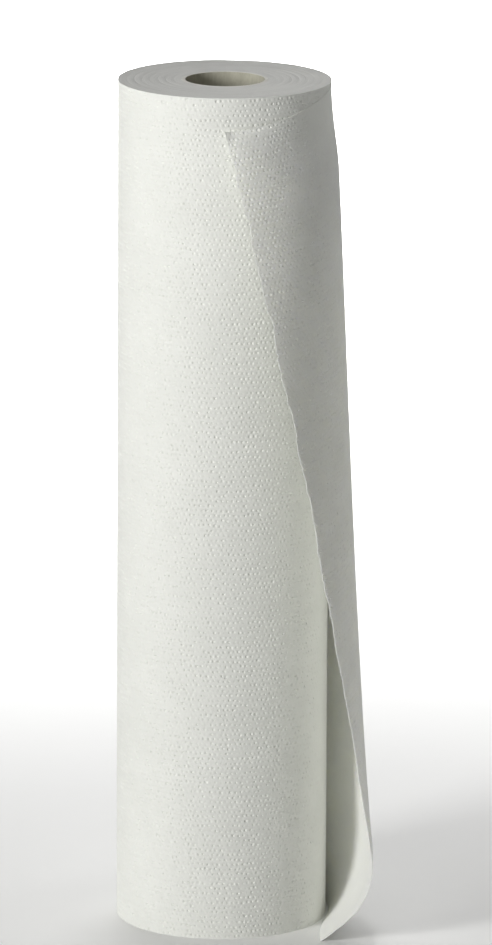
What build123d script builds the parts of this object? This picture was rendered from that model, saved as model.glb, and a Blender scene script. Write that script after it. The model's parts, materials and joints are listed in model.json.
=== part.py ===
from build123d import *
from math import cos, radians, sin
import os

# Exam table paper roll standing on end, in millimetres. The origin is on the axis of the
# core at the end that it stands on, +Z runs up the axis, and -Y faces the viewer.

# Roll and core
roll_width = 500.0          # width of the paper web, so the height of the standing roll
roll_diameter = 123.7       # over the wound turns, side to side
core_bore = 46.2            # inside diameter of the cardboard tube
core_wall = 2.0
winding_clearance = 0.05    # between the tube and the first turn

# Paper
sheet_thickness = 0.4       # two embossed plies
turn_step = 0.7             # how far the outermost turn stands off the one below it

# Turn lines on the sawn ends
turn_line_spacing = 4.5
turn_line_width = 0.5

# Loose end: the last half turn, lifted off the roll at the back
free_length = 203.5         # from the lift-off line to the torn edge
curl_radius = 65.1          # curl at the lift-off line: nearly that of the roll
end_curl_radius = 52.1      # curl at the torn edge, at the top: tighter than the roll
straightening = 0.979       # share of the torn edge's curl that is gone just above the tuck
straightening_growth = 0.563  # below 1 it straightens early on the way down
corner_drop = 19.0          # fall of the torn top edge over its quarter turn
top_edge_start = 5.0        # degrees behind the right side where the top edge starts to fall
tuck_height = 61.1          # height over which the bottom margin bends in under the sheet
tuck_depth = 34.8           # how far it bends in at the torn edge
tuck_start = 0.22           # share of the free length where the tuck begins
corner_draw = 34.1          # how far the tuck draws the bottom corner back round the roll

# Worked out from the sizes above
core_outer_radius = core_bore / 2 + core_wall
seat_radius = core_outer_radius + winding_clearance
start_radius = (roll_diameter - turn_step) / 2    # the turn under the loose end, at the back
right_radius = start_radius + turn_step / 4
left_radius = start_radius + turn_step * 3 / 4
front_y = -start_radius - turn_step / 2           # where the two half turns of the spiral meet
back_y = start_radius + turn_step                 # outer face where the loose end lifts off
plan_arcs = 9                                     # arcs that one plan line of the loose end has
plan_steps = 8                                    # steps of its integration in half an arc


def curl(along, height):
    """Heading of the sheet in plan, in radians, at a share of its free length.

    Its bend changes evenly from the lift-off line to the torn edge.
    """
    opened = (roll_width - height) / (roll_width - tuck_height)
    bend = 1 / curl_radius
    end_bend = (1 - straightening * opened**straightening_growth) / end_curl_radius
    return -free_length * (bend * along + (end_bend - bend) * along**2 / 2)


def tuck_share(along):
    """Smooth 0 to 1 along the sheet, from the part held by the roll to the torn edge."""
    t = max((along - tuck_start) / (1 - tuck_start), 0.0)
    return t * t * (3 - 2 * t)


def plan_line(height, inset):
    """Plan points of the loose end at one height: the ends and middles of its arcs.

    The sheet leaves the back of the roll heading +X and curls clockwise. Every height has the
    same length of paper; the curl opens towards the floor, and the lowest margin tucks in.
    """
    tuck = max(1 - height / tuck_height, 0.0) ** 2
    count = plan_arcs * 2 * plan_steps
    stride = free_length / count
    x, y = 0.0, back_y
    line = []
    for i in range(count + 1):
        heading = curl(i / count, height)
        if i % plan_steps == 0:
            inward = inset + tuck_depth * tuck * tuck_share(i / count)
            back = corner_draw * tuck * tuck_share(i / count)
            dx = inward * sin(heading) - back * cos(heading)
            dy = -inward * cos(heading) - back * sin(heading)
            line.append((x + dx, y + dy))
        next_heading = curl((i + 0.5) / count, height)
        x += stride * cos(next_heading)
        y += stride * sin(next_heading)
    return line


# Cardboard core
with BuildPart() as core:
    with BuildSketch():
        Circle(core_outer_radius)
        Circle(core_bore / 2, mode=Mode.SUBTRACT)
    extrude(amount=roll_width)

# Loose end: a smooth loft through the tuck, straight strips above it, then the slanting cut of
# the top edge
tuck_shares = (0, 0.2, 0.4, 0.6, 0.8, 1)
upper_shares = (0, 0.2, 0.4, 0.6, 0.75, 0.87, 0.95, 1)
tuck_levels = [tuck_height * share for share in tuck_shares]
upper_levels = [tuck_height + (roll_width - tuck_height) * share for share in upper_shares]
top_edge_angle = radians(top_edge_start)
top_edge_foot = Vector(right_radius * cos(top_edge_angle), right_radius * sin(top_edge_angle))
top_edge_run = Vector(0, front_y) - top_edge_foot
top_edge_fall = top_edge_run * (corner_drop / top_edge_run.length**2)
with BuildPart() as loose_end:
    for levels, straight in ((tuck_levels, False), (upper_levels, True)):
        for level in levels:
            outer = plan_line(level, 0.0)
            inner = plan_line(level, sheet_thickness)
            with BuildSketch(Plane.XY.offset(level)):
                with BuildLine():
                    for line in (outer, inner):
                        for k in range(0, plan_arcs * 2, 2):
                            ThreePointArc(*line[k : k + 3])
                    Line(outer[-1], inner[-1])
                    Line(inner[0], outer[0])
                make_face()
        loft(ruled=straight)
    top_edge_cut = Plane(
        origin=(top_edge_foot.X, top_edge_foot.Y, roll_width),
        z_dir=(top_edge_fall.X, top_edge_fall.Y, 1),
    )
    split(bisect_by=top_edge_cut, keep=Keep.BOTTOM)

# Wound turns: a two-centred spiral with its step at the back, where the loose end leaves it
line_count = int((start_radius - seat_radius) / turn_line_spacing - 0.5)
line_radii = [seat_radius + turn_line_spacing * (i + 1) for i in range(line_count)]
with BuildPart() as paper:
    with BuildSketch():
        with BuildLine():
            ThreePointArc((0, start_radius), (right_radius, -turn_step / 4), (0, front_y))
            ThreePointArc((0, front_y), (-left_radius, turn_step / 4), (0, back_y))
            Line((0, back_y), (0, start_radius))
        make_face()
        Circle(seat_radius, mode=Mode.SUBTRACT)
    extrude(amount=roll_width)
    with BuildSketch(Plane.XZ):
        with Locations([(radius, end) for radius in line_radii for end in (0, roll_width)]):
            Rectangle(turn_line_width, turn_line_width, rotation=45)
    revolve(axis=Axis.Z, mode=Mode.SUBTRACT)
    add(loose_end.part)

core.part.label = "core"
paper.part.label = "paper"
os.makedirs("parts", exist_ok=True)
export_step(core.part, "parts/core.step")
export_step(paper.part, "parts/paper.step")
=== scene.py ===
import json
from collections import namedtuple
from math import cos, pi, radians, sin

import bpy
import numpy as np
from mathutils import Matrix, Vector


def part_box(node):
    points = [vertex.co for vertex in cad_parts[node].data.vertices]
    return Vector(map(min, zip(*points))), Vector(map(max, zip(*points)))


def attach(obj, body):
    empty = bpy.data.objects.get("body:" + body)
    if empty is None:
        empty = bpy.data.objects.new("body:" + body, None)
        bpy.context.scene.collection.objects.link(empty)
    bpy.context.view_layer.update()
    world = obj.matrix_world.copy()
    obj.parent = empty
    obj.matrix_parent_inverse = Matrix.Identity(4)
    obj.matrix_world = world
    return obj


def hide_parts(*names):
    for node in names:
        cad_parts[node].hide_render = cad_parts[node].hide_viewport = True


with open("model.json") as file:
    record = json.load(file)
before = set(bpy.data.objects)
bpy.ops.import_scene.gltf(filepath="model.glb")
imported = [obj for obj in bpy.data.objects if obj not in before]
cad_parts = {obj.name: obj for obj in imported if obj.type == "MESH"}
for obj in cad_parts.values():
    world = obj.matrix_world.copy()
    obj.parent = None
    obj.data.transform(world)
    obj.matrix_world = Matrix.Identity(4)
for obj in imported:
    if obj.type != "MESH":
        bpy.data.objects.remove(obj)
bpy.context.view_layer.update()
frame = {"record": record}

mm = 0.001

# Sizes that the frame gives
roll_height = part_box("core")[1].z
core_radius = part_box("core")[1].x
left_radius = -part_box("paper")[0].x
bore_mount = next(m for m in frame["record"]["mounts"] if m["name"] == "core_bore")
bore_radius = bore_mount["dims"]["r_mm"] * mm

# Winding: two half turns, with a step at the back. The centre of the left one is a little behind the
# axis and the centre of the right one as far in front of it
turn_step = 0.7 * mm
winding_clearance = 0.05 * mm
sheet_thickness = 0.4 * mm
start_radius = left_radius - turn_step * 3 / 4
right_radius = start_radius + turn_step / 4
seat_radius = core_radius + winding_clearance
front_y = -start_radius - turn_step / 2
back_y = start_radius + turn_step
centre_offset = turn_step / 4
left_half = pi * left_radius
right_half = pi * right_radius

# Loose end, as the solid has it
free_length = 203.5 * mm
curl_radius = 65.1 * mm
end_curl_radius = 52.1 * mm
straightening = 0.979
straightening_growth = 0.563
corner_drop = 19.0 * mm
top_edge_start = radians(5.0)
tuck_height = 61.1 * mm
tuck_depth = 34.8 * mm
tuck_start = 0.22
corner_draw = 34.1 * mm

# Embossing: rows of small pits, staggered and a little uneven
pit_pitch = 2.9 * mm
pit_reach = 0.95 * mm           # half the side of a pit
pit_depth = 0.6 * mm
pit_reach_range = (0.75, 1.1)   # smallest and largest, of the reach above
pit_depth_range = (0.25, 1.25)  # and of the depth
pit_scatter = 0.12              # of the pitch
pit_skew = 0.4                  # of its reach: how far a pit's deepest point is off its middle
row_stagger = 0.25              # of the pitch, to the left and to the right in turn
pit_margin = 0.1 * mm           # between a pit and the border
pressed = 0.6                   # share of the depth that is gone where turns pressed on each other

# Wall of the roll: embossed, and plain where it lies close behind the loose end
embossed_turn = radians(265.0)
shallow_start = 0.6 * left_radius   # this far before the plain part the pits start to grow shallow
shallow_run = 0.4 * left_radius
plain_columns = 14
step_foot = 0.3 * mm            # the plain part ends this far before the step

# Turn edges on the sawn ends
turn_line_spacing = 4.5 * mm
turn_line_reach = 0.3 * mm
turn_line_depth = 0.05 * mm
turn_edge_relief = 0.02 * mm
outer_land_start = 0.25         # of the spacing, from the last turn line
floor_end_lands = 0             # uneven rings between two turn lines
top_end_lands = 1
relief_wave = 0.5               # share by which a ring's depth changes on its way round
relief_waves = 3
relief_twist = 40

# Thickness of the torn sheet, and the light through it
thin_edge = 0.15 * mm           # thickness where it is pressed on the turn below
lying_edge = turn_step - winding_clearance  # and where it only lies on it, nearer the tear
lying_depth = 0.8               # share of the pits' depth that has room there
pit_room = 0.35 * mm            # the inner face lies this much deeper behind the pits
clear_gap = 9.0 * mm            # this far off the turn below, it takes the most light through
see_through_grades = 5          # materials between the sheet that lies on the roll and the free one
soak_reach = 1.2 * mm           # how far light spreads in it

# How the torn sheet departs from the solid's smooth line
hug_height = 50.0 * mm          # its top edge lies on the turn below, and this far down it is free
hug_end = 0.7                   # its top edge lies there up to this share of its length
tip_looseness = 0.9             # how far from lying to free it then comes at the torn corner
edge_curl = 0.3 * mm            # the torn edge bends in by this
edge_reach = 13.0 * mm
tip_curl = 3.2 * mm             # the torn corner turns out by this
tip_reach = 10.0 * mm
rim_bend = 0.9 * mm             # the free part of the top edge bends in by this
rim_reach = 4.0 * mm
tear_points = 2                 # extra points of the torn edge between two rows of pits

# Where along the torn sheet these begin, and how far on they are whole, as shares of its length
lying_rise = (0.0, 0.12)        # its top lies on the turn below
unpressed_rise = (0.62, 0.16)   # its top lies there without being pressed
deep_pits_rise = (0.6, 0.2)     # its pits have their full depth
flutter_rise = (0.8, 0.2)
sway_rise = (0.9, 0.1)          # the broad waves of the torn edge
ragged_rise = (0.985, 0.015)    # and its small ones
edge_curl_rise = (0.3, 0.4)     # the torn edge bends in: shares of the roll's height

# Random lines over the roll's height: spacing of their knots, reach and seed
sway_line = (70.0 * mm, 1.3 * mm, 3)
narrow_tear_line = (11.0 * mm, 0.8 * mm, 4)
fine_tear_line = (2.4 * mm, 0.9 * mm, 5)
flutter_line = (34.0 * mm, 0.5 * mm, 6)

# Cardboard core: a helical seam inside, and the edges of its plies at both ends
core_segments = 96
core_rows = 126
seam_pitch = 110.0 * mm
seam_width = 1.2 * mm
seam_depth = 0.25 * mm
plies = 5
ply_line_reach = 0.06 * mm
ply_line_depth = 0.12 * mm

# Tones, dark and light
wound_tissue = np.array([(0.83, 0.838, 0.8), (0.88, 0.886, 0.85)])
single_tissue = np.array([(0.765, 0.768, 0.745), (0.815, 0.818, 0.795)])
# The sawn ends are greyer than the wall: partly their own tone, partly painted shade for the
# self-shadowing among the torn turn edges
turn_edge_tones_and_painted_shade = ((0.74, 0.74, 0.72), (0.86, 0.86, 0.84))
bore_tones = ((0.42, 0.405, 0.33), (0.57, 0.555, 0.46))
sawn_tones = ((0.8, 0.79, 0.75), (0.92, 0.91, 0.87))
floor_tones = ((0.9, 0.9, 0.895), (0.93, 0.93, 0.925))

rng = np.random.default_rng(7)


def mesh_object(name, points, faces, materials, face_slots, flat_faces=0, crease=radians(60.0)):
    """An object of these points and faces: the first flat_faces faces flat, the rest smooth."""
    mesh = bpy.data.meshes.new(name)
    mesh.from_pydata([tuple(p) for p in points], [], faces)
    mesh.validate()
    for material in materials:
        mesh.materials.append(material)
    mesh.polygons.foreach_set("material_index", face_slots)
    mesh.set_sharp_from_angle(angle=crease)
    smooth = [k >= flat_faces for k in range(len(mesh.polygons))]
    mesh.polygons.foreach_set("use_smooth", smooth)
    mesh.update()
    piece = bpy.data.objects.new(name, mesh)
    bpy.context.scene.collection.objects.link(piece)
    return piece


class MeshDraft:
    """Points and faces of a piece while it is being built."""

    def __init__(self):
        self.points = []
        self.faces = []

    def add_points(self, new):
        first = len(self.points)
        self.points.extend(np.asarray(new).tolist())
        return list(range(first, len(self.points)))

    def join_rings(self, a, b, flip=False):
        """A closed band of faces between two rings with the same number of points."""
        for k in range(len(a)):
            n = (k + 1) % len(a)
            face = (a[k], a[n], b[n], b[k])
            self.faces.append(face[::-1] if flip else face)


def smooth_step(value):
    """0 to 1 with level ends, for arrays."""
    t = np.clip(value, 0.0, 1.0)
    return t * t * (3 - 2 * t)


def rise(value, start, length):
    """Smooth 0 to 1 from a start on, over this length."""
    return smooth_step((value - start) / length)


def hook(distance, reach):
    """1 at an edge, falling to 0 over its reach as a bent edge does."""
    return np.clip(1 - distance / reach, 0, 1) ** 2


def wander(spacing, reach, seed):
    """A smooth random line over the roll's height: a function of height, within about +-reach."""
    draw = np.random.default_rng(seed)
    knots = draw.uniform(-reach, reach, int(roll_height / spacing) + 3)

    def value(height):
        spot = np.clip(height, 0, roll_height) / spacing
        k = spot.astype(int)
        return knots[k] + (knots[k + 1] - knots[k]) * smooth_step(spot - k)

    return value


Pit = namedtuple("Pit", "middle high_right high_left low_left low_right")


class EmbossedLattice:
    """Rows of pits over a flat width by height, as points (across, up, lift) and faces.

    Each pit is a middle and four corners. Plain lands join the pits, and two border points for
    each row or column close the lattice along its four sides. The pits' faces come first.
    """

    def __init__(self, width, height, tear_points=0):
        self.columns = round(width / pit_pitch)
        self.rows = round(height / pit_pitch)
        self.width = width
        self.height = height
        self._place_pits()
        self._place_borders(tear_points)
        self._join_pits()
        self._join_borders()

    def _place_pits(self):
        shape = (self.rows, self.columns)
        step_across = self.width / self.columns
        step_up = self.height / self.rows
        stagger = np.where(np.arange(self.rows) % 2 == 0, -row_stagger, row_stagger)[:, None]
        scatter_across = rng.uniform(-pit_scatter, pit_scatter, shape)
        scatter_up = rng.uniform(-pit_scatter, pit_scatter, shape)
        self.across = (np.arange(self.columns)[None, :] + 0.5 + stagger + scatter_across) * step_across
        self.up = (np.arange(self.rows)[:, None] + 0.5 + scatter_up) * step_up
        self.reach = pit_reach * rng.uniform(*pit_reach_range, shape)
        room = self.reach + pit_margin
        self.across = np.clip(self.across, room, self.width - self.reach - pit_margin)
        self.up = np.clip(self.up, room, self.height - self.reach - pit_margin)
        depth = pit_depth * rng.uniform(*pit_depth_range, shape)
        skew_across = self.reach * rng.uniform(-pit_skew, pit_skew, shape)
        skew_up = self.reach * rng.uniform(-pit_skew, pit_skew, shape)
        right, left = self.across + self.reach, self.across - self.reach
        high, low = self.up + self.reach, self.up - self.reach
        level = np.zeros(shape)
        spots = Pit(
            middle=(self.across + skew_across, self.up + skew_up, -depth),
            high_right=(right, high, level),
            high_left=(left, high, level),
            low_left=(left, low, level),
            low_right=(right, low, level),
        )
        stacked = np.stack([np.stack(spot, axis=-1) for spot in spots], axis=2)
        self.points = stacked.reshape(-1, 3).tolist()

    def _border(self, spots):
        first = len(self.points)
        self.points.extend((across, up, 0.0) for across, up in spots)
        return list(range(first, len(self.points)))

    def _place_borders(self, tear_points):
        def pairs(middle, reach):
            return np.stack([middle - reach, middle + reach], axis=-1).ravel()

        w, h = self.width, self.height
        ups_left = pairs(self.up[:, 0], self.reach[:, 0])
        ups_right = pairs(self.up[:, -1], self.reach[:, -1])
        self.left = self._border([(0.0, up) for up in ups_left])
        self.right = self._border([(w, up) for up in ups_right])
        self.bottom = self._border([(a, 0.0) for a in pairs(self.across[0], self.reach[0])])
        self.top = self._border([(a, h) for a in pairs(self.across[-1], self.reach[-1])])
        self.corners = self._border([(0.0, 0.0), (w, 0.0), (w, h), (0.0, h)])
        shares = np.linspace(0, 1, tear_points + 2)[1:-1]
        gaps = zip(ups_right[1:-1:2], ups_right[2::2])
        self.tear_runs = [self._border([(w, a + (b - a) * s) for s in shares]) for a, b in gaps]
        self.tear_runs.append([])

    def _pit(self, column, row):
        first = len(Pit._fields) * (row * self.columns + column)
        return Pit(*range(first, first + len(Pit._fields)))

    def _join_pits(self):
        hollows = []
        lands = []
        for row in range(self.rows):
            for column in range(self.columns):
                pit = self._pit(column, row)
                rim = pit[1:]
                hollows += [(pit.middle, rim[k], rim[(k + 1) % 4]) for k in range(4)]
                beside = self._pit(column + 1, row)
                above = self._pit(column, row + 1)
                diagonal = self._pit(column + 1, row + 1)
                has_beside = column + 1 < self.columns
                has_above = row + 1 < self.rows
                if has_beside:
                    lands.append((pit.low_right, beside.low_left, beside.high_left, pit.high_right))
                if has_above:
                    lands.append((pit.high_left, pit.high_right, above.low_right, above.low_left))
                if has_beside and has_above:
                    lands.append((pit.high_right, beside.high_left, diagonal.low_left, above.low_right))
        self.hollow_count = len(hollows)
        self.faces = hollows + lands

    def _join_borders(self):
        last_column = self.columns - 1
        last_row = self.rows - 1
        for row in range(self.rows):
            self._join_sides(row, last_column, last_row)
        for column in range(self.columns):
            self._join_ends(column, last_column, last_row)
        low_left, low_right, high_right, high_left = self.corners
        self.faces += [
            (low_left, self.bottom[0], self._pit(0, 0).low_left, self.left[0]),
            (self.bottom[-1], low_right, self.right[0], self._pit(last_column, 0).low_right),
            (self._pit(last_column, last_row).high_right, self.right[-1], high_right, self.top[-1]),
            (self.left[-1], self._pit(0, last_row).high_left, self.top[0], high_left),
        ]

    def _join_sides(self, row, last_column, last_row):
        """Faces between one row of pits and the left and right borders."""
        first_pit = self._pit(0, row)
        last_pit = self._pit(last_column, row)
        left_low, left_high = self.left[2 * row : 2 * row + 2]
        right_low, right_high = self.right[2 * row : 2 * row + 2]
        self.faces.append((left_low, first_pit.low_left, first_pit.high_left, left_high))
        self.faces.append((last_pit.low_right, right_low, right_high, last_pit.high_right))
        if row < last_row:
            left_next = self.left[2 * row + 2]
            right_next = self.right[2 * row + 2]
            above_first = self._pit(0, row + 1)
            above_last = self._pit(last_column, row + 1)
            self.faces.append((left_high, first_pit.high_left, above_first.low_left, left_next))
            torn_run = (right_high, *self.tear_runs[row], right_next)
            self.faces.append((last_pit.high_right, *torn_run, above_last.low_right))

    def _join_ends(self, column, last_column, last_row):
        """Faces between one column of pits and the bottom and top borders."""
        low_pit = self._pit(column, 0)
        high_pit = self._pit(column, last_row)
        low_west, low_east = self.bottom[2 * column : 2 * column + 2]
        top_west, top_east = self.top[2 * column : 2 * column + 2]
        self.faces.append((low_west, low_east, low_pit.low_right, low_pit.low_left))
        self.faces.append((high_pit.high_left, high_pit.high_right, top_east, top_west))
        if column < last_column:
            low_next = self.bottom[2 * column + 2]
            top_next = self.top[2 * column + 2]
            beside_low = self._pit(column + 1, 0)
            beside_high = self._pit(column + 1, last_row)
            self.faces.append((low_east, low_next, beside_low.low_left, low_pit.low_right))
            self.faces.append((high_pit.high_right, beside_high.high_left, top_next, top_east))

    def right_border(self):
        """All points of the right border between its corners, from the bottom up."""
        border = []
        for row, run in enumerate(self.tear_runs):
            border += [*self.right[2 * row : 2 * row + 2], *run]
        return border


# Materials


def new_group(name, inputs, outputs):
    """An empty shader node group with float inputs (name, default) and float outputs."""
    tree = bpy.data.node_groups.new(name, "ShaderNodeTree")
    tree.interface.new_socket("Vector", in_out="INPUT", socket_type="NodeSocketVector")
    for label, value in inputs:
        socket = tree.interface.new_socket(label, in_out="INPUT", socket_type="NodeSocketFloat")
        socket.default_value = value
    for label in outputs:
        tree.interface.new_socket(label, in_out="OUTPUT", socket_type="NodeSocketFloat")
    return tree, tree.nodes.new("NodeGroupInput"), tree.nodes.new("NodeGroupOutput")


def set_or_link(tree, socket, value):
    """Give a socket a plain number, or the output of another node."""
    if isinstance(value, (int, float)):
        socket.default_value = value
    else:
        tree.links.new(value, socket)


def add_noise(tree, vector, scale, detail, roughness=0.55):
    noise = tree.nodes.new("ShaderNodeTexNoise")
    noise.inputs["Detail"].default_value = detail
    noise.inputs["Roughness"].default_value = roughness
    tree.links.new(vector, noise.inputs["Vector"])
    set_or_link(tree, noise.inputs["Scale"], scale)
    return noise.outputs["Fac"]


def add_math(tree, operation, a, b=0.0):
    node = tree.nodes.new("ShaderNodeMath")
    node.operation = operation
    set_or_link(tree, node.inputs[0], a)
    set_or_link(tree, node.inputs[1], b)
    return node.outputs["Value"]


def add_vector(tree, x, y):
    node = tree.nodes.new("ShaderNodeCombineXYZ")
    tree.links.new(x, node.inputs["X"])
    tree.links.new(y, node.inputs["Y"])
    return node.outputs["Vector"]


def fibre_group():
    """Cloudy tone and short tangled fibres, as in tissue and in grey board."""
    tree, given, made = new_group(
        "pulp fibres",
        [("Cloud Scale", 45.0), ("Fibre Scale", 900.0), ("Fibre Share", 0.5)],
        ["Tone", "Height"],
    )
    fibre_stretch = (1.0, 1.0, 0.35)
    cloud = add_noise(tree, given.outputs["Vector"], given.outputs["Cloud Scale"], detail=3.0)
    stretch = tree.nodes.new("ShaderNodeVectorMath")
    stretch.operation = "MULTIPLY"
    stretch.inputs[1].default_value = fibre_stretch
    tree.links.new(given.outputs["Vector"], stretch.inputs[0])
    stretched = stretch.outputs["Vector"]
    fibre = add_noise(tree, stretched, given.outputs["Fibre Scale"], detail=4.0, roughness=0.65)
    fibre_part = add_math(tree, "MULTIPLY", fibre, given.outputs["Fibre Share"])
    cloud_share = add_math(tree, "SUBTRACT", 1.0, given.outputs["Fibre Share"])
    cloud_part = add_math(tree, "MULTIPLY", cloud, cloud_share)
    tree.links.new(add_math(tree, "ADD", fibre_part, cloud_part), made.inputs["Tone"])
    tree.links.new(fibre, made.inputs["Height"])
    return tree


def ring_group():
    """Fine rings round the roll's axis: the edges of the turns, torn a little by the saw."""
    tree, given, made = new_group(
        "turn rings", [("Ring Scale", 1500.0), ("Sweep Scale", 1.6)], ["Tone", "Height"]
    )
    band_scale = 160.0
    band_sweep = 1.1
    split = tree.nodes.new("ShaderNodeSeparateXYZ")
    tree.links.new(given.outputs["Vector"], split.inputs["Vector"])
    squares = []
    for axis in "XY":
        length = add_math(tree, "ABSOLUTE", split.outputs[axis])
        squares.append(add_math(tree, "POWER", length, 2.0))
    radius = add_math(tree, "SQRT", add_math(tree, "ADD", *squares))
    angle = add_math(tree, "ARCTAN2", split.outputs["Y"], split.outputs["X"])
    ring = add_math(tree, "MULTIPLY", radius, given.outputs["Ring Scale"])
    sweep = add_math(tree, "MULTIPLY", angle, given.outputs["Sweep Scale"])
    lines = add_noise(tree, add_vector(tree, ring, sweep), 1.0, detail=2.0)
    band = add_math(tree, "MULTIPLY", radius, band_scale)
    broad_sweep = add_math(tree, "MULTIPLY", angle, band_sweep)
    bands = add_noise(tree, add_vector(tree, band, broad_sweep), 1.0, detail=2.0)
    tone = add_math(tree, "MULTIPLY", add_math(tree, "ADD", lines, bands), 0.5)
    tree.links.new(tone, made.inputs["Tone"])
    tree.links.new(lines, made.inputs["Height"])
    return tree


pulp_fibres = fibre_group()
turn_rings = ring_group()


def new_material(name):
    """A node material with its Principled shader and the object's own coordinates."""
    material = bpy.data.materials.new(name)
    material.use_nodes = True
    tree = material.node_tree
    shader = tree.nodes["Principled BSDF"]
    place = tree.nodes.new("ShaderNodeTexCoord").outputs["Object"]
    return material, tree, shader, place


def use_group(tree, group, vector, **values):
    node = tree.nodes.new("ShaderNodeGroup")
    node.node_tree = group
    tree.links.new(vector, node.inputs["Vector"])
    for label, value in values.items():
        node.inputs[label.replace("_", " ").title()].default_value = value
    return node


def colour_by(tree, shader, tone, dark, light, low, high):
    """Base colour from dark to light while the tone goes from low to high."""
    ramp = tree.nodes.new("ShaderNodeValToRGB")
    ramp.color_ramp.elements[0].position = low
    ramp.color_ramp.elements[0].color = (*dark, 1.0)
    ramp.color_ramp.elements[1].position = high
    ramp.color_ramp.elements[1].color = (*light, 1.0)
    tree.links.new(tone, ramp.inputs["Fac"])
    tree.links.new(ramp.outputs["Color"], shader.inputs["Base Color"])


def roughness_by(tree, shader, tone, rough, smooth):
    """Roughness from rough to smooth while the tone goes from 0 to 1."""
    node = tree.nodes.new("ShaderNodeMapRange")
    node.inputs["To Min"].default_value = rough
    node.inputs["To Max"].default_value = smooth
    tree.links.new(tone, node.inputs["Value"])
    tree.links.new(node.outputs["Result"], shader.inputs["Roughness"])


def bump_by(tree, shader, height, distance):
    bump = tree.nodes.new("ShaderNodeBump")
    bump.inputs["Strength"].default_value = 1.0
    bump.inputs["Distance"].default_value = distance
    tree.links.new(height, bump.inputs["Height"])
    tree.links.new(bump.outputs["Normal"], shader.inputs["Normal"])


def tissue_material(name, tones, see_through=0.0):
    """Embossed tissue. A share see_through of its light soaks into it, and through a single sheet."""
    material, tree, shader, place = new_material(name)
    shader.inputs["Subsurface Weight"].default_value = see_through
    shader.inputs["Subsurface Radius"].default_value = (1.0, 1.0, 0.9)
    shader.inputs["Subsurface Scale"].default_value = soak_reach
    shader.inputs["Specular IOR Level"].default_value = 0.25
    fibres = use_group(tree, pulp_fibres, place, cloud_scale=38.0, fibre_scale=1100.0, fibre_share=0.45)
    tone = fibres.outputs["Tone"]
    colour_by(tree, shader, tone, *tones, low=0.32, high=0.68)
    roughness_by(tree, shader, tone, rough=0.98, smooth=0.84)
    bump_by(tree, shader, fibres.outputs["Height"], distance=0.05 * mm)
    return material


def turn_edge_material():
    material, tree, shader, place = new_material("sawn turn edges with painted shade")
    shader.inputs["Specular IOR Level"].default_value = 0.2
    rings = use_group(tree, turn_rings, place, ring_scale=1500.0, sweep_scale=1.6)
    fibres = use_group(tree, pulp_fibres, place, cloud_scale=30.0, fibre_scale=700.0, fibre_share=0.4)
    both = add_math(tree, "ADD", rings.outputs["Tone"], fibres.outputs["Tone"])
    tone = add_math(tree, "MULTIPLY", both, 0.5)
    # Darker base colour: the sawn end's own grey, with painted shade for the shadows among its turn edges
    colour_by(tree, shader, tone, *turn_edge_tones_and_painted_shade, low=0.34, high=0.66)
    roughness_by(tree, shader, rings.outputs["Tone"], rough=1.0, smooth=0.88)
    bump_by(tree, shader, rings.outputs["Height"], distance=0.12 * mm)
    return material


def board_material(name, tones):
    material, tree, shader, place = new_material(name)
    shader.inputs["Specular IOR Level"].default_value = 0.3
    fibres = use_group(tree, pulp_fibres, place, cloud_scale=70.0, fibre_scale=500.0, fibre_share=0.6)
    tone = fibres.outputs["Tone"]
    colour_by(tree, shader, tone, *tones, low=0.3, high=0.7)
    roughness_by(tree, shader, tone, rough=0.95, smooth=0.75)
    bump_by(tree, shader, fibres.outputs["Height"], distance=0.1 * mm)
    return material


def floor_material():
    material, tree, shader, place = new_material("pale floor")
    fibres = use_group(tree, pulp_fibres, place, cloud_scale=2.0, fibre_scale=60.0, fibre_share=0.2)
    tone = fibres.outputs["Tone"]
    colour_by(tree, shader, tone, *floor_tones, low=0.2, high=0.8)
    roughness_by(tree, shader, tone, rough=0.9, smooth=0.8)
    return material


outer_paper = tissue_material("embossed tissue", wound_tissue)
loose_papers = []
for free_share in np.linspace(0, 1, see_through_grades):
    loose_tones = wound_tissue + (single_tissue - wound_tissue) * free_share
    loose_papers.append(tissue_material("single tissue sheet", loose_tones, free_share))
turn_edges = turn_edge_material()
bore_board = board_material("bore board", bore_tones)
sawn_board = board_material("sawn board", sawn_tones)


# Wound turns


def wall_place(along, height, lift):
    """Points of the roll's wall, by arc length from the lift-off line round the left side."""
    on_left = along <= left_half
    turned = np.where(on_left, along / left_radius, pi + (along - left_half) / right_radius)
    radius = np.where(on_left, left_radius, right_radius) + lift
    centre_y = np.where(on_left, centre_offset, -centre_offset)
    return np.stack([-radius * np.sin(turned), centre_y + radius * np.cos(turned), height], axis=-1)


def end_rings(lands):
    """Shares from the core to the wall, with the depth of the end face there.

    Between two turn lines it has this many uneven rings.
    """
    depth = start_radius - seat_radius
    count = int(depth / turn_line_spacing - 0.5)
    rings = [(0.0, 0.0)]
    for k in range(count):
        line = turn_line_spacing * (k + 1)
        land = np.linspace(line - turn_line_spacing, line, lands + 2)[1:-1]
        rings += [(r, rng.uniform(0, turn_edge_relief)) for r in land if r > turn_line_reach]
        rings += [(line - turn_line_reach, 0.0), (line, turn_line_depth), (line + turn_line_reach, 0.0)]
    outer = np.linspace(line + turn_line_spacing * outer_land_start, depth, 2 * lands + 2)[:-1]
    rings += [(r, rng.uniform(0, turn_edge_relief)) for r in outer]
    rings = sorted((float(r), float(d)) for r, d in rings)
    return [(r / depth, d) for r, d in rings]


def add_end(draft, rim, end, facing, lands):
    """One end of the roll, ring by ring from the wall to the core; gives its innermost ring."""
    spots = np.array([draft.points[k] for k in rim])
    angle = np.arctan2(spots[:, 1], spots[:, 0])
    reach = np.hypot(spots[:, 0], spots[:, 1])
    previous = rim
    for share, depth in reversed(end_rings(lands)):
        radius = seat_radius + (reach - seat_radius) * share
        dip = depth * (1 + relief_wave * np.sin(angle * relief_waves + share * relief_twist))
        level = end + facing * dip
        ring = draft.add_points(np.stack([radius * np.cos(angle), radius * np.sin(angle), level], axis=-1))
        draft.join_rings(previous, ring, flip=facing > 0)
        previous = ring
    return previous


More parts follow.
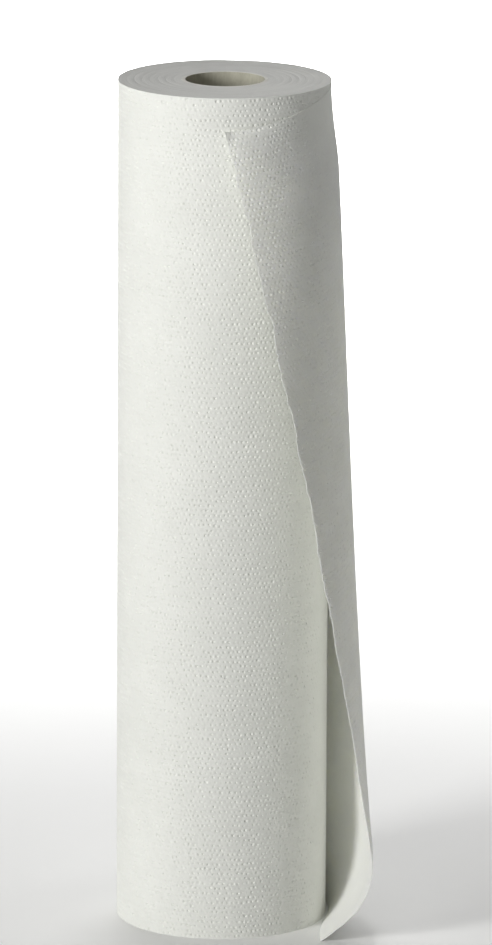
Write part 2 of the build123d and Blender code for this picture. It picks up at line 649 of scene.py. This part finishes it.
def build_wound_turns():
    embossed = left_half + (embossed_turn - pi) * right_radius
    lattice = EmbossedLattice(embossed, roll_height)
    along, height, lift = np.array(lattice.points).T
    shallow = rise(along - embossed, -shallow_start, shallow_run)
    draft = MeshDraft()
    draft.add_points(wall_place(along, height, lift * (1 - pressed * shallow)))
    draft.faces += lattice.faces

    # Plain columns behind the loose end, up to the foot of the step
    behind = np.linspace(embossed, left_half + right_half - step_foot, plain_columns + 1)[1:]
    low = draft.add_points(wall_place(behind, np.zeros_like(behind), 0.0))
    high = draft.add_points(wall_place(behind, np.full_like(behind, roll_height), 0.0))
    low_left, low_right, high_right, high_left = lattice.corners
    draft.faces.append((low_right, low[0], high[0], high_right, *reversed(lattice.right)))
    draft.faces += zip(low, low[1:], high[1:], high)
    draft.faces.append((low[-1], low_left, *lattice.left, high_left, high[-1]))
    wall_faces = len(draft.faces)

    # Both ends and the wall round the core
    low_rim = [low_left, *lattice.bottom, low_right, *low]
    high_rim = [high_left, *lattice.top, high_right, *high]
    low_ring = add_end(draft, low_rim, 0.0, 1, floor_end_lands)
    high_ring = add_end(draft, high_rim, roll_height, -1, top_end_lands)
    next_low = low_ring[1:] + low_ring[:1]
    next_high = high_ring[1:] + high_ring[:1]
    draft.faces += zip(low_ring, high_ring, next_high, next_low)
    slots = [0] * wall_faces + [1] * (len(draft.faces) - wall_faces)
    papers = [outer_paper, turn_edges]
    return mesh_object("wound_turns", draft.points, draft.faces, papers, slots, lattice.hollow_count)


# Loose end


def curl(along, height):
    """Heading of the loose end in plan at a share of its length, as arrays."""
    opened = (roll_height - height) / (roll_height - tuck_height)
    bend = 1 / curl_radius
    end_bend = (1 - straightening * opened**straightening_growth) / end_curl_radius
    return -free_length * (bend * along + (end_bend - bend) * along**2 / 2)


def top_edge_drop(x, y):
    """Fall of the sheet's top edge, by its place in plan: it starts near the roll's right side."""
    foot = Vector((right_radius * cos(top_edge_start), right_radius * sin(top_edge_start)))
    run = Vector((0.0, front_y)) - foot
    fallen = ((x - foot.x) * run.x + (y - foot.y) * run.y) / run.length_squared
    return corner_drop * np.clip(fallen, 0, None)


class LooseSheet:
    """The loose end's smooth outer face, sampled once and read between its samples."""

    def __init__(self, stations=206, levels=251):
        self.stations = stations
        self.levels = levels
        height = np.linspace(0, roll_height, levels)[:, None]
        along = np.linspace(0, 1, stations)[None, :]
        x, y = self._lay_top(*self._free_plan(along, height), along, height)
        gap = np.hypot(x, y + centre_offset) - right_radius - self.thickness
        self.clear = smooth_step(gap / clear_gap)
        self.face = np.stack([x, y, np.broadcast_to(height, x.shape)], axis=-1)
        across = np.gradient(self.face, axis=1)
        upward = np.gradient(self.face, axis=0)
        normal = np.cross(upward, across)
        self.normal = normal / np.linalg.norm(normal, axis=-1, keepdims=True)

    def _free_plan(self, along, height):
        """The sheet in plan as the solid has it: opened towards the floor, and tucked in there."""
        middle = (along[:, 1:] + along[:, :-1]) / 2
        stride = free_length / (self.stations - 1)
        turn = curl(middle, height)
        start = np.zeros((self.levels, 1))
        x = np.concatenate([start, np.cumsum(np.cos(turn), axis=1) * stride], axis=1)
        y = np.concatenate([start, np.cumsum(np.sin(turn), axis=1) * stride], axis=1) + back_y
        heading = curl(along, height)
        tuck = np.clip(1 - height / tuck_height, 0, 1) ** 2
        share = rise(along, tuck_start, 1 - tuck_start) * tuck
        inward = tuck_depth * share
        back = corner_draw * share
        x = x + inward * np.sin(heading) - back * np.cos(heading)
        y = y - inward * np.cos(heading) - back * np.sin(heading)
        return x, y

    def _lay_top(self, x, y, along, height):
        """The same plan with its top laid on the turn below, into which it fades."""
        lying = rise(along, *lying_rise)
        lying = lying * (1 - tip_looseness * rise(along, hug_end, 1 - hug_end))
        below = roll_height - top_edge_drop(x[-1], y[-1])[None, :] - height
        hug = lying * (1 - smooth_step(below / hug_height))
        unpressed = rise(along, *unpressed_rise)
        lying_thickness = thin_edge + (lying_edge - thin_edge) * unpressed
        self.loose = 1 - hug
        self.depth = self.loose + lying_depth * unpressed * hug
        self.thickness = sheet_thickness + (lying_thickness - sheet_thickness) * hug
        reach = np.hypot(x, y + centre_offset)
        drawn_in = hug * (reach - right_radius - self.thickness - winding_clearance)
        x = x - drawn_in * x / reach
        y = y - drawn_in * (y + centre_offset) / reach
        return x, y

    def _read(self, grid, along, height):
        column = np.clip(along, 0, 1) * (self.stations - 1)
        row = np.clip(height / roll_height, 0, 1) * (self.levels - 1)
        c = np.minimum(column.astype(int), self.stations - 2)
        r = np.minimum(row.astype(int), self.levels - 2)
        s = (column - c)[:, None]
        t = (row - r)[:, None]
        low = grid[r, c] * (1 - s) + grid[r, c + 1] * s
        high = grid[r + 1, c] * (1 - s) + grid[r + 1, c + 1] * s
        return low * (1 - t) + high * t

    def place(self, along, height, lift):
        """Points at a share of the free length and a height, raised along the outer normal.

        Past its end the sheet runs straight on.
        """
        over = np.clip(along - 1, 0, None)[:, None] * free_length
        just_before = 0.99
        tangent = self._read(self.face, np.ones_like(along), height)
        tangent = tangent - self._read(self.face, np.full_like(along, just_before), height)
        tangent = tangent / np.linalg.norm(tangent, axis=-1, keepdims=True)
        normal = self._read(self.normal, along, height)
        return self._read(self.face, along, height) + over * tangent + lift[:, None] * normal

    def value(self, grid, along, height):
        """One of the sheet's own values there: loose, depth, clear or thickness."""
        return self._read(grid[..., None], along, height)[:, 0]


class TornSheet:
    """Mesh of the loose end: an embossed outer face, a plain inner one and thin edges all round."""

    def __init__(self):
        self.sheet = LooseSheet()
        self.lattice = EmbossedLattice(free_length, roll_height, tear_points)
        self.flat = np.array(self.lattice.points)
        self.sway = wander(*sway_line)
        self.narrow_tear = wander(*narrow_tear_line)
        self.fine_tear = wander(*fine_tear_line)
        self.flutter = wander(*flutter_line)
        self.points = []
        self.clear = []
        self.faces = list(self.lattice.faces)
        self._place_outer_face()
        self._place_inner_face()
        self._join_inner_face()
        self._join_edges()

    def _torn(self, along, height):
        """How far the torn edge is off its straight line, as a share of the free length."""
        ragged = self.narrow_tear(height) + self.fine_tear(height)
        off = self.sway(height) * rise(along, *sway_rise) + ragged * rise(along, *ragged_rise)
        return off / free_length

    def _bend(self, lift, along, share_up, height, loose):
        """These lifts with the sheet's flutter and the bends of its edges and its torn corner."""
        from_tear = (1 - along) * free_length
        from_rim = (1 - share_up) * roll_height
        lift = lift + self.flutter(height) * rise(along, *flutter_rise)
        lift = lift - edge_curl * hook(from_tear, edge_reach) * rise(height / roll_height, *edge_curl_rise)
        lift = lift + tip_curl * hook(from_tear + from_rim, tip_reach)
        return lift - rim_bend * loose * hook(from_rim, rim_reach)

    def _lay(self, along, share_up, lift, inner):
        """Lay points on the sheet, which its slanting top edge and its tear shorten."""
        sheet = self.sheet
        at_top = sheet.place(along, np.full_like(along, roll_height), np.zeros_like(along))
        height = share_up * (roll_height - top_edge_drop(at_top[:, 0], at_top[:, 1]))
        loose = sheet.value(sheet.loose, along, height)
        lift = lift * (loose if inner else sheet.value(sheet.depth, along, height))
        lift = self._bend(lift, along, share_up, height, loose)
        if inner:
            lift = lift - sheet.value(sheet.thickness, along, height)
        first = len(self.points)
        self.points.extend(sheet.place(along + self._torn(along, height), height, lift).tolist())
        self.clear.extend(sheet.value(sheet.clear, along, height).tolist())
        return list(range(first, len(self.points)))

    def _place_outer_face(self):
        along = self.flat[:, 0] / free_length
        share_up = self.flat[:, 1] / roll_height
        shallow = 1 - rise(along, *deep_pits_rise)
        self._lay(along, share_up, self.flat[:, 2] * (1 - pressed * shallow), False)

    def _place_inner_face(self):
        """A plain grid behind the pits.

        Its border has a point for each outer border point, and every second of these starts a
        grid line.
        """
        flat, lattice = self.flat, self.lattice
        columns = np.concatenate([[0.0], flat[lattice.bottom[::2], 0] / free_length, [1.0]])
        left_up = np.concatenate([[0.0], flat[lattice.left[::2], 1] / roll_height, [1.0]])
        right_up = np.concatenate([[0.0], flat[lattice.right[::2], 1] / roll_height, [1.0]])
        grid_up = left_up[:, None] + (right_up - left_up)[:, None] * columns[None, :]
        grid_along = np.broadcast_to(columns[None, :], grid_up.shape).copy()
        grid_along[-1, 1:-1] = flat[lattice.top[::2], 0] / free_length
        deeper = np.zeros(grid_up.shape)
        deeper[1:-1, 1:-1] = -pit_room
        self.first_inner = self._lay(grid_along.ravel(), grid_up.ravel(), deeper.ravel(), True)[0]
        self.last_row, self.last_column = (size - 1 for size in grid_up.shape)
        torn_runs = zip(lattice.right[1::2], lattice.tear_runs)
        self.bottom_runs = [[]] + [self._inner_run([k]) for k in lattice.bottom[1::2]]
        self.top_runs = [[]] + [self._inner_run([k]) for k in lattice.top[1::2]]
        self.left_runs = [[]] + [self._inner_run([k]) for k in lattice.left[1::2]]
        self.right_runs = [[]] + [self._inner_run([k, *run]) for k, run in torn_runs]

    def _inner_run(self, outer):
        """Inner points behind these outer border points."""
        spots = self.flat[outer]
        return self._lay(spots[:, 0] / free_length, spots[:, 1] / roll_height, np.zeros(len(outer)), True)

    def _spot(self, column, row):
        return self.first_inner + row * (self.last_column + 1) + column

    def _join_inner_face(self):
        for row in range(self.last_row):
            for column in range(self.last_column):
                left = self.left_runs[row] if column == 0 else []
                right = self.right_runs[row][::-1] if column == self.last_column - 1 else []
                bottom = self.bottom_runs[column][::-1] if row == 0 else []
                top = self.top_runs[column] if row == self.last_row - 1 else []
                self.faces.append((
                    self._spot(column, row), *left, self._spot(column, row + 1), *top,
                    self._spot(column + 1, row + 1), *right, self._spot(column + 1, row), *bottom,
                ))

    def _join_edges(self):
        lattice = self.lattice
        low_left, low_right, high_right, high_left = lattice.corners
        outer_loop = [low_left, *lattice.bottom, low_right, *lattice.right_border(), high_right]
        outer_loop += [*reversed(lattice.top), high_left, *reversed(lattice.left)]
        inner_loop = []
        for column in range(self.last_column):
            inner_loop += [self._spot(column, 0), *self.bottom_runs[column]]
        for row in range(self.last_row):
            inner_loop += [self._spot(self.last_column, row), *self.right_runs[row]]
        for column in range(self.last_column, 0, -1):
            inner_loop += [self._spot(column, self.last_row), *reversed(self.top_runs[column - 1])]
        for row in range(self.last_row, 0, -1):
            inner_loop += [self._spot(0, row), *reversed(self.left_runs[row - 1])]
        for k in range(len(outer_loop)):
            n = (k + 1) % len(outer_loop)
            self.faces.append((outer_loop[n], outer_loop[k], inner_loop[k], inner_loop[n]))

    def grades(self):
        """A see-through grade for each face: one of the two nearest by chance, so that no band shows."""
        grade = np.array([self.clear[face[0]] for face in self.faces]) * (see_through_grades - 1)
        return np.floor(grade + rng.uniform(0, 1, len(self.faces))).astype(int).tolist()


def build_loose_end():
    torn = TornSheet()
    hollow_count = torn.lattice.hollow_count
    return mesh_object("loose_end", torn.points, torn.faces, loose_papers, torn.grades(), hollow_count)


# Cardboard core


def build_core():
    """A spiral-wound tube: a helical seam inside, and its plies at both ends."""
    draft = MeshDraft()
    angles = np.arange(core_segments) * 2 * pi / core_segments
    wall = core_radius - bore_radius

    def ring(radius, height):
        spread = np.broadcast_to(radius, angles.shape)
        level = np.broadcast_to(height, angles.shape)
        spots = np.stack([spread * np.cos(angles), spread * np.sin(angles), level], axis=-1)
        return draft.add_points(spots)

    def bore(height):
        phase = (height / seam_pitch - angles / (2 * pi)) % 1.0
        gap = np.minimum(phase, 1 - phase) * seam_pitch
        return bore_radius + seam_depth * np.clip(1 - gap / seam_width / 2, 0, 1)

    def ply_edges(end, facing):
        """Rings of one end, from the first line between two plies to the outside of the tube."""
        loop = []
        for ply in range(1, plies):
            line = bore_radius + wall * ply / plies
            loop.append(ring(line - ply_line_reach, end))
            loop.append(ring(line, end + facing * ply_line_depth))
            loop.append(ring(line + ply_line_reach, end))
        return [*loop, ring(core_radius, end)]

    rings = [ring(bore(height), height) for height in np.linspace(roll_height, 0, core_rows)]
    rings += ply_edges(0.0, 1)
    rings += reversed(ply_edges(roll_height, -1))
    for a, b in zip(rings, rings[1:] + rings[:1]):
        draft.join_rings(b, a)
    bore_faces = (core_rows - 1) * core_segments
    slots = [0] * bore_faces + [1] * (len(draft.faces) - bore_faces)
    boards = [bore_board, sawn_board]
    return mesh_object("spiral_core", draft.points, draft.faces, boards, slots, crease=radians(50.0))


wound_turns = build_wound_turns()
loose_end = build_loose_end()
spiral_core = build_core()

for piece, node, slot in (
    (wound_turns, "paper", "paper"),
    (loose_end, "paper", "paper"),
    (spiral_core, "core", "core"),
):
    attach(piece, "root")
    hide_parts(node)

# Floor


def build_floor():
    reach = 6.0
    mesh = bpy.data.meshes.new("floor")
    corners = [(-reach, -reach, 0), (reach, -reach, 0), (reach, reach, 0), (-reach, reach, 0)]
    mesh.from_pydata(corners, [], [(0, 1, 2, 3)])
    mesh.materials.append(floor_material())
    floor = bpy.data.objects.new("floor", mesh)
    bpy.context.scene.collection.objects.link(floor)


build_floor()

# Light and camera


def area_light(name, place, target, size, watts, colour, spread=pi):
    lamp = bpy.data.lights.new(name, "AREA")
    lamp.shape = "RECTANGLE"
    lamp.size, lamp.size_y = size
    lamp.energy = watts
    lamp.color = colour
    lamp.spread = spread
    light = bpy.data.objects.new(name, lamp)
    light.location = place
    light.rotation_euler = (Vector(target) - Vector(place)).to_track_quat("-Z", "Y").to_euler()
    bpy.context.scene.collection.objects.link(light)


def light_studio():
    middle = (0.0, 0.0, roll_height / 2)
    top_front = (0.0, -left_radius, 0.94 * roll_height)
    top_right = (0.05, -0.05, roll_height)
    backdrop_foot = (0.0, 2.3, 0.0)
    area_light(
        "key softbox", (-1.65, -1.65, 0.9), middle,
        size=(0.6, 0.6), watts=38.3, colour=(1.0, 1.0, 0.985),
    )
    area_light(
        "right reflector", (1.5, 0.1, 0.4), middle,
        size=(0.8, 0.8), watts=3.5, colour=(1.0, 1.0, 0.97),
    )
    area_light(
        "front softbox", (-0.1, -0.75, 1.05), top_front,
        size=(0.25, 0.25), watts=0.067, colour=(1.0, 1.0, 0.98), spread=radians(40.0),
    )
    area_light(
        "top softbox", (0.02, -0.02, 1.5), top_right,
        size=(0.12, 0.12), watts=0.065, colour=(1.0, 1.0, 0.98), spread=radians(30.0),
    )
    area_light(
        "backdrop softbox", (0.0, 2.6, 1.9), backdrop_foot,
        size=(2.4, 1.8), watts=100.0, colour=(1.0, 1.0, 1.0), spread=radians(100.0),
    )
    world = bpy.data.worlds.new("studio")
    world.use_nodes = True
    background = world.node_tree.nodes["Background"]
    background.inputs["Color"].default_value = (1.0, 1.0, 0.94, 1.0)
    background.inputs["Strength"].default_value = 0.02
    scene = bpy.context.scene
    scene.world = world
    scene.view_settings.view_transform = "Standard"
    # White paper passes light on many times in the narrow gap behind the loose end
    scene.cycles.diffuse_bounces = 10


def place_camera():
    """The photograph's camera, as fitted to the roll's outline."""
    image_height = 945
    focal_pixels = 8767.3
    sensor_width = 36.0
    place = (13.29 * mm, -5.0, 1.4226)
    pitch = radians(13.024)
    roll = radians(0.283)
    camera_data = bpy.data.cameras.new("camera")
    camera_data.sensor_width = sensor_width
    camera_data.lens = focal_pixels * sensor_width / image_height
    camera_data.clip_end = 60.0
    camera = bpy.data.objects.new("camera", camera_data)
    turned = Matrix.Rotation(pi / 2 - pitch, 4, "X") @ Matrix.Rotation(roll, 4, "Z")
    camera.matrix_world = Matrix.Translation(place) @ turned
    bpy.context.scene.collection.objects.link(camera)
    bpy.context.scene.camera = camera


light_studio()
place_camera()
